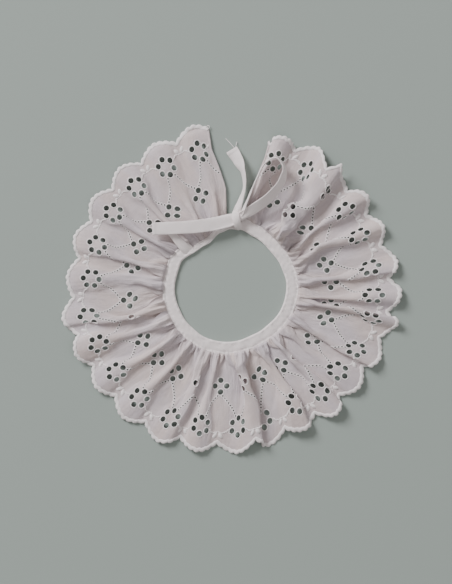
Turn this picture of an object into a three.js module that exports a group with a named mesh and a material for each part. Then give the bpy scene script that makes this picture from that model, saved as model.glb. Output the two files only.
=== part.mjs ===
// A gathered collar of white eyelet-embroidered cotton, laid flat and tied in a half bow.
// A strip of scalloped trim is gathered into a folded tape neckband, and the tape's two ends run on as ties.
// Millimetres, +Z up. The neck's centre is the centre of the working frame; the group is moved at the end
// so that its origin is the middle of its footprint, on the surface that it lies on.
import * as THREE from "three";

// ---------------------------------------------------------------- driving dimensions
const CLOTH = 1.0; // thickness of the trim's wall
const REPEAT = 36; // length of trim in one scallop
const TRIM_DEPTH = 82.5; // neck seam to scallop tip
const SCALLOP_DEPTH = 8; // tip to valley
const BUMPS = 7; // small bumps round one scallop
const BUMP_DEPTH = 0.9;
const TRIM_START = 0.15; // cut ends of the trim, counted in scallops
const TRIM_END = 26.05;
const EYELET = 4.3; // diameter of each cut eyelet
const EYELET_SIDES = 6;
const OUTER_ROW = 61; // distance of the six-eyelet flowers from the seam
const OUTER_RING = 6.7; // radius of the ring that their eyelets lie on
const INNER_ROW = 27.5; // the same for the four-eyelet flowers
const INNER_RING = 4.9;
const END_HEM = 2.2; // plain margin that eyelets keep from a cut end
const SEAM_GAP = 0.4; // clearance between sewn pieces
const BAND_WIDTH = 11; // folded tape neckband
const BAND_THICK = 2.4;
const TAPE_WIDTH = 10.5; // the same tape where it runs on as a tie
const TAPE_THICK = 1.2;
const GATHERS_PER_SCALLOP = 3; // fine gathers at the seam
const GATHER_TILT = 1.1; // their steepest slope at the seam, radians
const GATHER_REACH = [22, 44, 30, 36, 26]; // how far from the seam each gather runs out, in turn

const COTTON = new THREE.MeshStandardMaterial({ color: 0xe9e5e3, roughness: 0.9, metalness: 0 });
const TAPE = new THREE.MeshStandardMaterial({ color: 0xf0ece9, roughness: 0.85, metalness: 0 });
const DEGREE = Math.PI / 180;

// ---------------------------------------------------------------- how the trim lies
// Each scallop: the direction of its flower from the neck's centre in degrees, how far its tip reaches, how far
// the gathers draw the cloth in between the seam and the tip, and how much of the fold's slope its stiff flower
// takes: under 1 it lies flatter than the cloth round it, over 1 it stands steeper.
const SCALLOPS = [
  { angle: 103.2, reach: 140.5, drawn: 3, stand: 0.3 },
  { angle: 118.8, reach: 138, drawn: 1.8, stand: 0.3 },
  { angle: 133.6, reach: 138.5, drawn: 0, stand: 0.3 },
  { angle: 147.9, reach: 139.5, drawn: 0.5, stand: 0.3 },
  { angle: 162.3, reach: 140, drawn: 0, stand: 0.3 },
  { angle: 176.8, reach: 140, drawn: 0.5, stand: 0.3 },
  { angle: 191.3, reach: 146, drawn: 0, stand: 1 },
  { angle: 203, reach: 144.5, drawn: 0, stand: 0.3 },
  { angle: 216.7, reach: 143.5, drawn: 0.5, stand: 0.3 },
  { angle: 230.3, reach: 145, drawn: 0.5, stand: 0.3 },
  { angle: 245, reach: 146, drawn: 1, stand: 0.8 },
  { angle: 257.6, reach: 143, drawn: 1, stand: 0.3 },
  { angle: 272, reach: 142, drawn: 2, stand: 0.8 },
  { angle: 283, reach: 139.5, drawn: 5, stand: 1 },
  { angle: 296.5, reach: 137, drawn: 5, stand: 0.6 },
  { angle: 309.6, reach: 141, drawn: 4.5, stand: 0.5 },
  { angle: 320, reach: 139, drawn: 4.5, stand: 0.3 },
  { angle: 337.3, reach: 141, drawn: 1.5, stand: 5 },
  { angle: 344.6, reach: 144, drawn: 1, stand: 7 },
  { angle: 357, reach: 144, drawn: 1.5, stand: 0.6 },
  { angle: 369, reach: 143, drawn: 3.5, stand: 6 },
  { angle: 381.5, reach: 139.5, drawn: 3, stand: 0.8 },
  { angle: 394, reach: 139, drawn: 3.5, stand: 0.8 },
  { angle: 406, reach: 133.5, drawn: 4, stand: 1 },
  { angle: 418.5, reach: 139.5, drawn: 2, stand: 8 },
  { angle: 430.4, reach: 134.5, drawn: 4.5, stand: 0.3 },
];
const BROAD_TOP = { u: 23.82, stand: 0.1 }; // the widest fold is flat on top near its inner flower
const EDGE_START_ANGLE = 98; // directions of the two cut ends beyond the flowers
const EDGE_END_ANGLE = 435.4;

// Where the seam takes up the trim: strip position in scallops, and its direction at the neckband.
const SEAM_PLACES = [
  { u: TRIM_START, angle: 93.5 },
  { u: 3, angle: 141 },
  { u: 6, angle: 186 },
  { u: 9, angle: 225 },
  { u: 12, angle: 263.5 },
  { u: 15, angle: 302 },
  { u: 18, angle: 340 },
  { u: 21, angle: 373 },
  { u: 24, angle: 411 },
  { u: TRIM_END, angle: 439 },
];

// Each fold runs from its own foot to the next one's. A foot lies at strip position `neck` on the seam, `inner` at
// the inner flowers, where its direction is `aim`, and `edge` at the outer flowers. Its crest is the share of the
// fold's cloth before the ridge at the inner flowers, and `tip` the same at the outer ones: a high share leans over
// the next fold and a low one over the fold before.
const FOLDS = [
  { neck: 0.15, inner: 0.15, edge: 0.15, aim: 93, crest: 0.5, tip: 0.5 },
  { neck: 1.1, inner: 1, edge: 1, aim: 108.4, crest: 0.45, tip: 0.5 },
  { neck: 2.1, inner: 2, edge: 2, aim: 128.4, crest: 0.5, tip: 0.5 },
  { neck: 3.1, inner: 3, edge: 3, aim: 142.3, crest: 0.5, tip: 0.5 },
  { neck: 4.05, inner: 4, edge: 4, aim: 156.8, crest: 0.7, tip: 0.6 },
  { neck: 5.1, inner: 5, edge: 5, aim: 168.5, crest: 0.35, tip: 0.5 },
  { neck: 6.1, inner: 6, edge: 6, aim: 188, crest: 0.72, tip: 0.76 },
  { neck: 7.1, inner: 7.3, edge: 6.82, aim: 200, crest: 0.5, tip: 0.5 },
  { neck: 8.3, inner: 8, edge: 8, aim: 211.5, crest: 0.58, tip: 0.5 },
  { neck: 9.3, inner: 9, edge: 9, aim: 224.8, crest: 0.58, tip: 0.5 },
  { neck: 10.2, inner: 10, edge: 10, aim: 237.8, crest: 0.7, tip: 0.72 },
  { neck: 11.2, inner: 11.3, edge: 11, aim: 253.5, crest: 0.45, tip: 0.45 },
  { neck: 12.1, inner: 12, edge: 12, aim: 264.2, crest: 0.62, tip: 0.78 },
  { neck: 13.7, inner: 13.95, edge: 13.45, aim: 286.2, crest: 0.75, tip: 0.76 },
  { neck: 15, inner: 14.95, edge: 14.9, aim: 300.6, crest: 0.6, tip: 0.68 },
  { neck: 16.1, inner: 16.4, edge: 16, aim: 315, crest: 0.5, tip: 0.5 },
  { neck: 16.9, inner: 17, edge: 17, aim: 327, crest: 0.32, tip: 0.24 },
  { neck: 18.1, inner: 18, edge: 18, aim: 341.6, crest: 0.68, tip: 0.7 },
  { neck: 19, inner: 19.1, edge: 19, aim: 351.3, crest: 0.32, tip: 0.44 },
  { neck: 19.8, inner: 19.95, edge: 20, aim: 361.3, crest: 0.3, tip: 0.27 },
  { neck: 20.8, inner: 21, edge: 21, aim: 372.7, crest: 0.6, tip: 0.5 },
  { neck: 21.6, inner: 22.3, edge: 22, aim: 389.5, crest: 0.55, tip: 0.45 },
  { neck: 22.4, inner: 23.05, edge: 23.2, aim: 396.8, crest: 0.42, tip: 0.32 },
  { neck: 25, inner: 25, edge: 24.95, aim: 424.5, crest: 0.7, tip: 0.6 },
  { neck: TRIM_END, inner: TRIM_END, edge: TRIM_END, aim: 438.2, crest: 0.5, tip: 0.5 },
];

// Radius of the neck opening by direction. The band's outer edge and the seam follow it.
const OPENING = [
  { angle: 91, radius: 48.3 },
  { angle: 100, radius: 46.4 },
  { angle: 118, radius: 41 },
  { angle: 130, radius: 41.3 },
  { angle: 156, radius: 46.8 },
  { angle: 200, radius: 48 },
  { angle: 245, radius: 48.3 },
  { angle: 300, radius: 45 },
  { angle: 355, radius: 47 },
  { angle: 400, radius: 44.8 },
  { angle: 426, radius: 46 },
  { angle: 440, radius: 48.8 },
];

const mix = (a, b, share) => a + (b - a) * share;
const clamp = (x, low, high) => Math.min(high, Math.max(low, x));
const smooth = (x) => {
  const c = clamp(x, 0, 1);
  return c * c * (3 - 2 * c);
};

// Value of a table's column at a key between its rows.
function lookUp(rows, key, column, at, ease = (x) => x) {
  let i = rows.findIndex((row) => row[key] >= at);
  if (i < 0) i = rows.length - 1;
  i = Math.max(1, i);
  const [low, high] = [rows[i - 1], rows[i]];
  const share = clamp((at - low[key]) / (high[key] - low[key]), 0, 1);
  return mix(low[column], high[column], ease(share));
}

const openingRadius = (angle) => lookUp(OPENING, "angle", "radius", angle, smooth);
const seamRadius = (angle) => openingRadius(angle) + BAND_WIDTH + SEAM_GAP;

const [FIRST_SCALLOP, LAST_SCALLOP] = [SCALLOPS[0], SCALLOPS.at(-1)];
const EDGE_PLACES = [
  { ...FIRST_SCALLOP, u: TRIM_START, angle: EDGE_START_ANGLE },
  ...SCALLOPS.map((row, i) => ({ ...row, u: i + 0.5 })),
  { ...LAST_SCALLOP, u: TRIM_END, angle: EDGE_END_ANGLE },
];

// A value that is known at the seam, at the inner flowers and at the outer ones, at distance t from the seam.
const between = (seam, inner, edge, t) =>
  t < INNER_ROW
    ? mix(seam, inner, t / INNER_ROW)
    : mix(inner, edge, clamp((t - INNER_ROW) / (OUTER_ROW - INNER_ROW), 0, 1));

// Direction that the trim takes on the ground at strip position u, t mm from the seam.
const groundAngle = (u, t) =>
  between(lookUp(SEAM_PLACES, "u", "angle", u), lookUp(FOLDS, "inner", "aim", u), lookUp(EDGE_PLACES, "u", "angle", u), t);

function groundRadius(u, t, angle) {
  const reach = lookUp(EDGE_PLACES, "u", "reach", u, smooth);
  const drawn = lookUp(EDGE_PLACES, "u", "drawn", u, smooth);
  const seam = seamRadius(angle);
  const share = t / TRIM_DEPTH;
  return seam + share * (reach - seam) - drawn * Math.sin(Math.PI * Math.min(1, Math.pow(share, 0.63)));
}

// ---------------------------------------------------------------- sections of the gathered trim
const ROW_STEP = 1.5; // distance between worked-out sections
const FOLD_STEPS = 60; // points across one fold in a section
const SECTION_ROWS = Math.ceil(TRIM_DEPTH / ROW_STEP) + 1;
const footAt = (fold, t) => between(fold.neck, fold.inner, fold.edge, t);
const crestAt = (fold, t) => mix(fold.crest, fold.tip, smooth((t - INNER_ROW) / (OUTER_ROW - INNER_ROW)));
const flatAt = (t) => 0.36 * smooth(t / 24) * mix(1, 0.3, smooth((t - 34) / 26)); // share of a flank flat at its foot
const steepest = (t) => mix(0.95, 2, smooth(t / 26)); // no part of a fold tilts more than this, radians
const settle = (t) => mix(0.3, 0.7, smooth(t / 26)); // share of its free height that a fold keeps under its weight

// Share of its fold's slope that the cloth takes at a place on the strip. The flowers and the cloth beyond them
// keep to themselves.
function flowerStand(u, t) {
  const i = clamp(Math.floor(u), 0, SCALLOPS.length - 1);
  const out = t > OUTER_ROW ? (t - OUTER_ROW) * 0.3 : OUTER_ROW - t;
  const outer = mix(SCALLOPS[i].stand, 1, smooth((Math.hypot((u - i - 0.5) * REPEAT, out) - 8) / 6));
  const inner = smooth((Math.hypot((u - BROAD_TOP.u) * REPEAT, t - INNER_ROW) - 9) / 5);
  return outer * mix(BROAD_TOP.stand, 1, inner);
}

// The broad slope of a fold's flanks at even steps along its cloth: up to its crest, then down by the same height.
function flankSlopes(crest, flat, standAt) {
  const slopes = Array.from({ length: FOLD_STEPS }, (_, i) => {
    const x = (i + 0.5) / FOLD_STEPS;
    const climb = x < crest ? x / crest : (1 - x) / (1 - crest);
    return Math.sign(crest - x) * Math.sin(Math.PI * clamp((climb - flat) / (1 - flat), 0, 1)) * standAt(x);
  });
  const rise = slopes.reduce((sum, slope) => sum + Math.max(0, slope), 0);
  const fall = slopes.reduce((sum, slope) => sum - Math.min(0, slope), 0);
  return slopes.map((slope) => (slope * FOLD_STEPS) / (slope > 0 ? rise : fall));
}

// One fold at distance t: shares of the ground that it covers and its heights, at even steps along its cloth.
function foldSection(index, t) {
  const fold = FOLDS[index];
  const [from, to] = [footAt(fold, t), footAt(FOLDS[index + 1], t)];
  const cloth = (to - from) * REPEAT;
  const middle = groundAngle((from + to) / 2, t);
  const ground = (groundAngle(to, t) - groundAngle(from, t)) * DEGREE * groundRadius((from + to) / 2, t, middle);
  const count = Math.max(2, Math.round((FOLDS[index + 1].neck - fold.neck) * GATHERS_PER_SCALLOP));
  const gathers = Array.from({ length: count }, (_, i) => {
    const reach = GATHER_REACH[(index * 2 + i) % GATHER_REACH.length];
    return GATHER_TILT * Math.pow(clamp(1 - t / reach, 0, 1), 1.3);
  });
  const flanks = flankSlopes(crestAt(fold, t), flatAt(t), (x) => flowerStand(mix(from, to, x), t));
  const run = (tilt) => {
    const along = [0];
    const height = [0];
    for (let i = 0; i < FOLD_STEPS; i++) {
      const place = ((i + 0.5) / FOLD_STEPS) * count;
      const gather = gathers[Math.floor(place)] * Math.sin(2 * Math.PI * place);
      const slope = clamp(tilt * flanks[i], -steepest(t), steepest(t)) + gather;
      along.push(along[i] + (Math.cos(slope) * cloth) / FOLD_STEPS);
      height.push(height[i] + (Math.sin(slope) * cloth) / FOLD_STEPS);
    }
    return { along, height };
  };
  let [low, high] = [0, 2];
  for (let pass = 0; pass < 16; pass++) {
    const tilt = (low + high) / 2;
    if (run(tilt).along.at(-1) > ground) low = tilt;
    else high = tilt;
  }
  const { along, height } = run(low);
  const left = height.at(-1);
  return {
    from,
    to,
    share: along.map((x) => x / along.at(-1)),
    height: height.map((z, i) => Math.max(0, z - (left * i) / FOLD_STEPS)),
  };
}

const SECTIONS = Array.from({ length: SECTION_ROWS }, (_, row) =>
  FOLDS.slice(0, -1).map((_, index) => foldSection(index, row * ROW_STEP)),
);

// Direction and height of the cloth's middle at strip position u in one worked-out section.
function onSection(row, u) {
  const t = row * ROW_STEP;
  const folds = SECTIONS[row];
  let index = folds.findIndex((fold) => u <= fold.to);
  if (index < 0) index = folds.length - 1;
  const fold = folds[index];
  const place = clamp((u - fold.from) / (fold.to - fold.from), 0, 1) * FOLD_STEPS;
  const i = Math.min(FOLD_STEPS - 1, Math.floor(place));
  const share = mix(fold.share[i], fold.share[i + 1], place - i);
  const height = mix(fold.height[i], fold.height[i + 1], place - i);
  return {
    angle: mix(groundAngle(fold.from, t), groundAngle(fold.to, t), share),
    height: height * settle(t),
  };
}

// The trim's middle surface: strip position u in scallops and distance t from the seam, to a point in space.
function onTrim(u, t) {
  const place = clamp(t / ROW_STEP, 0, SECTION_ROWS - 1.001);
  const row = Math.floor(place);
  const [near, far] = [onSection(row, u), onSection(row + 1, u)];
  const angle = mix(near.angle, far.angle, place - row);
  const radius = groundRadius(u, t, angle);
  return new THREE.Vector3(
    radius * Math.cos(angle * DEGREE),
    radius * Math.sin(angle * DEGREE),
    CLOTH / 2 + mix(near.height, far.height, place - row),
  );
}

// Outward normal of the middle surface, by small differences.
function trimNormal(u, t) {
  const [du, dt] = [0.004, 0.2];
  const along = onTrim(Math.min(u + du, TRIM_END), t).sub(onTrim(Math.max(u - du, TRIM_START), t));
  const across = onTrim(u, t + dt).sub(onTrim(u, Math.max(0, t - dt)));
  return across.cross(along).normalize();
}

// ---------------------------------------------------------------- the trim's flat pattern
// Distance of the scalloped edge from the seam at strip position u.
function scallopEdge(u) {
  const x = Math.abs(2 * (u - Math.floor(u)) - 1);
  const bump = BUMP_DEPTH * Math.abs(Math.cos(BUMPS * Math.PI * (u - Math.floor(u) - 0.5)));
  return TRIM_DEPTH - BUMP_DEPTH - SCALLOP_DEPTH * Math.pow(x, 1.6) + bump;
}

function flowerEyelets(u, row, ring, petals) {
  return Array.from({ length: petals }, (_, i) => {
    const turn = (2 * Math.PI * i) / petals + Math.PI / 2;
    return { s: u * REPEAT + ring * Math.cos(turn), t: row + ring * Math.sin(turn) };
  });
}

const EYELETS = [];
for (let k = 0; k <= Math.ceil(TRIM_END); k++) {
  EYELETS.push(...flowerEyelets(k + 0.5, OUTER_ROW, OUTER_RING, 6), ...flowerEyelets(k, INNER_ROW, INNER_RING, 4));
}
const inset = EYELET / 2 + END_HEM;
const KEPT_EYELETS = EYELETS.filter(
  (hole) => hole.s > TRIM_START * REPEAT + inset && hole.s < TRIM_END * REPEAT - inset,
);

const inEyelet = (s, t, margin) =>
  KEPT_EYELETS.some((hole) => Math.hypot(hole.s - s, hole.t - t) < EYELET / 2 + margin);

// Points of the flat pattern, in mm along and across the strip.
function patternPoints() {
  const points = [];
  const add = (s, t, margin = 1.5) => {
    if (!inEyelet(s, t, margin)) points.push([s, t]);
  };
  // the seam and two rows beyond it take a point on each gather's ridge and on each foot between gathers
  for (const t of [0, 6, 13.5, 20]) {
    FOLDS.slice(0, -1).forEach((fold, index) => {
      const next = FOLDS[index + 1];
      const [from, to] = [footAt(fold, t), footAt(next, t)];
      const count = 2 * Math.max(2, Math.round((next.neck - fold.neck) * GATHERS_PER_SCALLOP));
      for (let i = 0; i < count; i++) {
        const u = mix(from, to, i / count);
        if (u > TRIM_START + 0.06) add(u * REPEAT, t);
      }
    });
  }
  // each fold's foot and ridge further out, and its two flanks half way
  for (const t of [34, 41, 48, 55, 68]) {
    FOLDS.slice(0, -1).forEach((fold, index) => {
      const [from, to] = [footAt(fold, t), footAt(FOLDS[index + 1], t)];
      const crest = crestAt(fold, t);
      const places = t === 41 ? [0, crest, (1 + crest) / 2] : [0, crest];
      for (const share of places) {
        const u = mix(from, to, share);
        if (u > TRIM_START + 0.06) add(u * REPEAT, t);
      }
    });
  }
  const edgeSteps = 2 * BUMPS;
  const last = Math.floor(TRIM_END * edgeSteps);
  for (let i = Math.ceil(TRIM_START * edgeSteps + 0.4); i <= last; i++) {
    const u = i / edgeSteps;
    if (u < TRIM_END - 0.02) points.push([u * REPEAT, scallopEdge(u)]);
  }
  for (const u of [TRIM_START, TRIM_END]) {
    const edge = scallopEdge(u);
    for (let i = 0; i <= 9; i++) points.push([u * REPEAT, (edge * i) / 9]);
  }
  for (const hole of KEPT_EYELETS) {
    for (let i = 0; i < EYELET_SIDES; i++) {
      const turn = (2 * Math.PI * (i + 0.5)) / EYELET_SIDES;
      points.push([hole.s + (EYELET / 2) * Math.cos(turn), hole.t + (EYELET / 2) * Math.sin(turn)]);
    }
  }
  // a shift of a few thousandths of a millimetre keeps four points from lying on one circle
  return points.map(([s, t], i) => [s + 0.004 * Math.sin(i * 12.9898), t === 0 ? 0 : t + 0.004 * Math.sin(i * 78.233)]);
}

// Delaunay triangles of flat points, by adding one point at a time.
function delaunay(points) {
  const far = 1e5;
  const all = [...points, [-far, -far], [far, -far], [0, far]];
  const circle = (a, b, c) => {
    const [ax, ay] = all[a];
    const [bx, by] = [all[b][0] - ax, all[b][1] - ay];
    const [cx, cy] = [all[c][0] - ax, all[c][1] - ay];
    const d = 2 * (bx * cy - by * cx);
    const x = (cy * (bx * bx + by * by) - by * (cx * cx + cy * cy)) / d;
    const y = (bx * (cx * cx + cy * cy) - cx * (bx * bx + by * by)) / d;
    return { a, b, c, x: x + ax, y: y + ay, rr: x * x + y * y, turn: Math.sign(d) };
  };
  let open = [circle(points.length, points.length + 1, points.length + 2)];
  const closed = [];
  const order = points.map((_, i) => i).sort((i, j) => points[i][0] - points[j][0]);
  for (const i of order) {
    const [px, py] = points[i];
    const edges = new Map();
    const kept = [];
    for (const tri of open) {
      const dx = px - tri.x;
      if (dx > 0 && dx * dx > tri.rr) {
        closed.push(tri);
        continue;
      }
      if (dx * dx + (py - tri.y) ** 2 >= tri.rr) {
        kept.push(tri);
        continue;
      }
      for (const [m, n] of [[tri.a, tri.b], [tri.b, tri.c], [tri.c, tri.a]]) {
        const key = m < n ? `${m},${n}` : `${n},${m}`;
        edges.set(key, edges.has(key) ? null : [m, n]);
      }
    }
    for (const edge of edges.values()) if (edge) kept.push(circle(edge[0], edge[1], i));
    open = kept;
  }
  return [...closed, ...open]
    .filter((tri) => Math.max(tri.a, tri.b, tri.c) < points.length)
    .map((tri) => (tri.turn > 0 ? [tri.a, tri.b, tri.c] : [tri.a, tri.c, tri.b]));
}

// A closed wall: a sheet of triangles, doubled to both sides of itself and joined round every edge.
function wall(upper, lower, triangles) {
  const count = upper.length;
  const positions = [...upper, ...lower].flatMap((p) => [p.x, p.y, p.z]);
  const index = [];
  const border = new Map();
  for (const [a, b, c] of triangles) {
    index.push(a, b, c, count + a, count + c, count + b);
    for (const [m, n] of [[a, b], [b, c], [c, a]]) {
      if (!border.delete(`${n},${m}`)) border.set(`${m},${n}`, [m, n]);
    }
  }
  for (const [m, n] of border.values()) index.push(m, count + m, n, n, count + m, count + n);
  const geometry = new THREE.BufferGeometry();
  geometry.setAttribute("position", new THREE.Float32BufferAttribute(positions, 3));
  geometry.setIndex(index);
  geometry.computeVertexNormals();
  return geometry;
}

function ruffleGeometry() {
  const points = patternPoints();
  const inside = (s, t) =>
    s > TRIM_START * REPEAT && s < TRIM_END * REPEAT && t < scallopEdge(s / REPEAT) && !inEyelet(s, t, -0.35);
  const triangles = delaunay(points).filter((tri) => {
    const s = (points[tri[0]][0] + points[tri[1]][0] + points[tri[2]][0]) / 3;
    const t = (points[tri[0]][1] + points[tri[1]][1] + points[tri[2]][1]) / 3;
    return inside(s, t);
  });
  const used = [...new Set(triangles.flat())];
  const renumber = new Map(used.map((old, i) => [old, i]));
  const upper = [];
  const lower = [];
  for (const i of used) {
    const u = clamp(points[i][0] / REPEAT, TRIM_START, TRIM_END);
    const middle = onTrim(u, points[i][1]);
    const normal = trimNormal(u, points[i][1]);
    if (points[i][1] === 0) {
      // the edge that is sewn to the band stays square to it
      const seam = onTrim(Math.min(u + 0.03, TRIM_END), 0).sub(onTrim(Math.max(u - 0.03, TRIM_START), 0));
      const outward = new THREE.Vector3(seam.y, -seam.x, 0).normalize();
      normal.addScaledVector(outward, -normal.dot(outward)).normalize();
    }
    normal.multiplyScalar(CLOTH / 2);
    upper.push(middle.clone().add(normal));
    lower.push(middle.clone().sub(normal));
    lower.at(-1).z = Math.max(0, lower.at(-1).z);
  }
  // strip position runs anticlockwise and t outwards, so each triangle is turned over to face up
  return wall(
    upper,
    lower,
    triangles.map(([a, b, c]) => [a, c, b].map((i) => renumber.get(i))),
  );
}

// ---------------------------------------------------------------- bands and ties
// A closed bar through rings of points, with flat ends.
function loft(rings) {
  const sides = rings[0].length;
  const positions = rings.flat().flatMap((p) => [p.x, p.y, p.z]);
  const index = [];
  for (let r = 0; r + 1 < rings.length; r++) {
    for (let i = 0; i < sides; i++) {
      const [a, b] = [r * sides + i, r * sides + ((i + 1) % sides)];
      index.push(a, a + sides, b, b, a + sides, b + sides);
    }
  }
  const end = (rings.length - 1) * sides;
  for (let i = 1; i + 1 < sides; i++) index.push(0, i, i + 1, end, end + i + 1, end + i);
  const geometry = new THREE.BufferGeometry();
  geometry.setAttribute("position", new THREE.Float32BufferAttribute(positions, 3));
  geometry.setIndex(index);
  geometry.computeVertexNormals();
  return geometry;
}

// The folded tape's section, across by up: flat below, with soft edges.
const tapeSection = (width, thick) => [
  [-width / 2, thick * 0.25],
  [-width / 2 + thick * 0.35, 0],
  [width / 2 - thick * 0.35, 0],
  [width / 2, thick * 0.25],
  [width / 2, thick * 0.7],
  [width / 2 - thick * 0.5, thick],
  [-width / 2 + thick * 0.5, thick],
  [-width / 2, thick * 0.7],
];

const BAND_START = 91.6; // directions of the band's ends, either side of the knot
const BAND_END = 438.9;
const BAND_STEP = 3;

function neckbandGeometry() {
  const steps = Math.round((BAND_END - BAND_START) / BAND_STEP);
  const rings = Array.from({ length: steps + 1 }, (_, i) => {
    const angle = mix(BAND_START, BAND_END, i / steps);
    const radius = openingRadius(angle) + BAND_WIDTH / 2;
    const [c, s] = [Math.cos(angle * DEGREE), Math.sin(angle * DEGREE)];
    return tapeSection(BAND_WIDTH, BAND_THICK).map(
      ([across, up]) => new THREE.Vector3((radius + across) * c, (radius + across) * s, up),
    );
  });
  return loft(rings);
}

// A length of tape through a table of places: x, y, z of its middle, roll of its width about its run, and its width.
function tapeGeometry(rows, perSpan) {
  const route = new THREE.CatmullRomCurve3(rows.map((row) => new THREE.Vector3(row.x, row.y, row.z)));
  const steps = (rows.length - 1) * perSpan;
  const rings = Array.from({ length: steps + 1 }, (_, i) => {
    const place = Math.min(i / perSpan, rows.length - 1.000001);
    const row = Math.floor(place);
    const share = smooth(place - row);
    const roll = mix(rows[row].roll, rows[row + 1].roll, share) * DEGREE;
    const width = mix(rows[row].width, rows[row + 1].width, share);
    const centre = route.getPoint(i / steps);
    const along = route.getTangent(i / steps);
    const side = new THREE.Vector3(along.y, -along.x, 0).normalize();
    const up = new THREE.Vector3().crossVectors(side, along);
    const across = side.clone().multiplyScalar(Math.cos(roll)).addScaledVector(up, Math.sin(roll));
    const over = new THREE.Vector3().crossVectors(across, along);
    return tapeSection(width, TAPE_THICK).map(([a, b]) =>
      centre.clone().addScaledVector(across, a).addScaledVector(over, b - TAPE_THICK / 2),
    );
  });
  return loft(rings);
}

// The long tie lies over the ruffle to the left, and ends in a turned-in square end.
const TIE_LEFT = [
  { x: -2.1, y: 55.6, z: 6, roll: 0, width: 6.6 },
  { x: -13, y: 53, z: 7.4, roll: 0, width: 8.4 },
  { x: -30, y: 50.5, z: 8.4, roll: 0, width: TAPE_WIDTH },
  { x: -48, y: 49.3, z: 8.8, roll: 0, width: TAPE_WIDTH },
  { x: -66.5, y: 48.6, z: 8.6, roll: 0, width: TAPE_WIDTH },
];
// The short tie runs up between the ruffle's two ends, turning on edge half way.
const TIE_UP = [
  { x: 4.1, y: 61.15, z: 5, roll: 15, width: 5.6 },
  { x: 7.6, y: 71, z: 6, roll: 46, width: 8 },
  { x: 11.4, y: 84, z: 6.2, roll: 66, width: 9.6 },
  { x: 10.2, y: 96, z: 5.6, roll: 60, width: TAPE_WIDTH },
  { x: 6, y: 107, z: 3.6, roll: 22, width: TAPE_WIDTH },
  { x: 0.5, y: 116, z: 1.4, roll: 0, width: TAPE_WIDTH },
];
// The bow's one loop: flat where it leaves the knot, on edge at its far end and all the way back.
const LOOP = [
  { x: 10.1, y: 57.7, z: 7.4, roll: 0, width: 7 },
  { x: 21, y: 66.5, z: 11.4, roll: -12, width: 9.6 },
  { x: 33, y: 77, z: 13.6, roll: -28, width: TAPE_WIDTH },
  { x: 42, y: 89, z: 14.6, roll: -52, width: TAPE_WIDTH },
  { x: 44.5, y: 101, z: 15, roll: -74, width: TAPE_WIDTH },
  { x: 37.5, y: 108.5, z: 15, roll: -86, width: TAPE_WIDTH },
  { x: 29.5, y: 103.5, z: 14.8, roll: -90, width: TAPE_WIDTH },
  { x: 22, y: 89, z: 14.2, roll: -90, width: TAPE_WIDTH },
  { x: 15.5, y: 74, z: 12.4, roll: -84, width: 9 },
  { x: 9.6, y: 62.3, z: 7.6, roll: -60, width: 5 },
];

// The knot: two turns of tape drawn into a soft lump, flat underneath.
const KNOT = { x: 4.4, y: 55.2, length: 11.8, width: 11.4, height: 9 };

function knotGeometry() {
  const rings = 8;
  const sides = 14;
  const geometry = new THREE.SphereGeometry(1, sides, rings);
  const place = geometry.getAttribute("position");
  const soften = (v, power) => Math.sign(v) * Math.pow(Math.abs(v), power);
  for (let i = 0; i < place.count; i++) {
    const [x, y, z] = [place.getX(i), place.getZ(i), -place.getY(i)];
    const pinch = 1 - 0.14 * Math.exp(-((x / 0.3) ** 2)); // the groove between the two turns
    place.setXYZ(
      i,
      (soften(x, 0.8) * KNOT.length) / 2,
      (soften(y, 0.8) * KNOT.width * pinch) / 2,
      (KNOT.height / 2) * (1 + Math.max(-1, soften(z, 0.8) * 1.15 * pinch)),
    );
  }
  geometry.rotateZ(-12 * DEGREE);
  geometry.translate(KNOT.x, KNOT.y, 0);
  return geometry;
}

// ---------------------------------------------------------------- assembly
function piece(name, geometry, material) {
  const mesh = new THREE.Mesh(geometry, material);
  mesh.name = name;
  return mesh;
}

const collar = new THREE.Group();
collar.add(piece("ruffle", ruffleGeometry(), COTTON));
collar.add(piece("neckband", neckbandGeometry(), TAPE));
collar.add(piece("knot", knotGeometry(), TAPE));
collar.add(piece("tie_left", tapeGeometry(TIE_LEFT, 3), TAPE));
collar.add(piece("tie_up", tapeGeometry(TIE_UP, 3), TAPE));
collar.add(piece("bow_loop", tapeGeometry(LOOP, 3), TAPE));

const footprint = new THREE.Box3().setFromObject(collar);
const middle = footprint.getCenter(new THREE.Vector3());
collar.position.set(-middle.x, -middle.y, -footprint.min.z);

export default collar;
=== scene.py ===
import math
import random

import bmesh
import bpy
import numpy as np
from mathutils import Matrix, Vector
from mathutils.geometry import delaunay_2d_cdt


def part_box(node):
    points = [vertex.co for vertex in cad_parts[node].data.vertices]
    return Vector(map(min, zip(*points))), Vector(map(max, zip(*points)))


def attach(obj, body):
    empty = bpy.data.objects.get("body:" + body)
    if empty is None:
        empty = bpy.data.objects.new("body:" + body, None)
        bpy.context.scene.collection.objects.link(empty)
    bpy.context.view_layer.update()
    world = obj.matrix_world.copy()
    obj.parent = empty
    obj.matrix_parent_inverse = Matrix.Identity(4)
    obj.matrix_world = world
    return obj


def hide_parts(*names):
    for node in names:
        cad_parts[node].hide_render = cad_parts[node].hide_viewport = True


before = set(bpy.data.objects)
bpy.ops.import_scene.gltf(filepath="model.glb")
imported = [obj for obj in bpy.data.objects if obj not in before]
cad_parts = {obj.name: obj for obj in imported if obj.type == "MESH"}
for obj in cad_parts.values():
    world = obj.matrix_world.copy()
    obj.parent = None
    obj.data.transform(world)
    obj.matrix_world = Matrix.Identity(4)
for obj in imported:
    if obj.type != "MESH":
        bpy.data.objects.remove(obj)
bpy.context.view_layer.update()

MM = 0.001
chance = random.Random(26)

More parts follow.
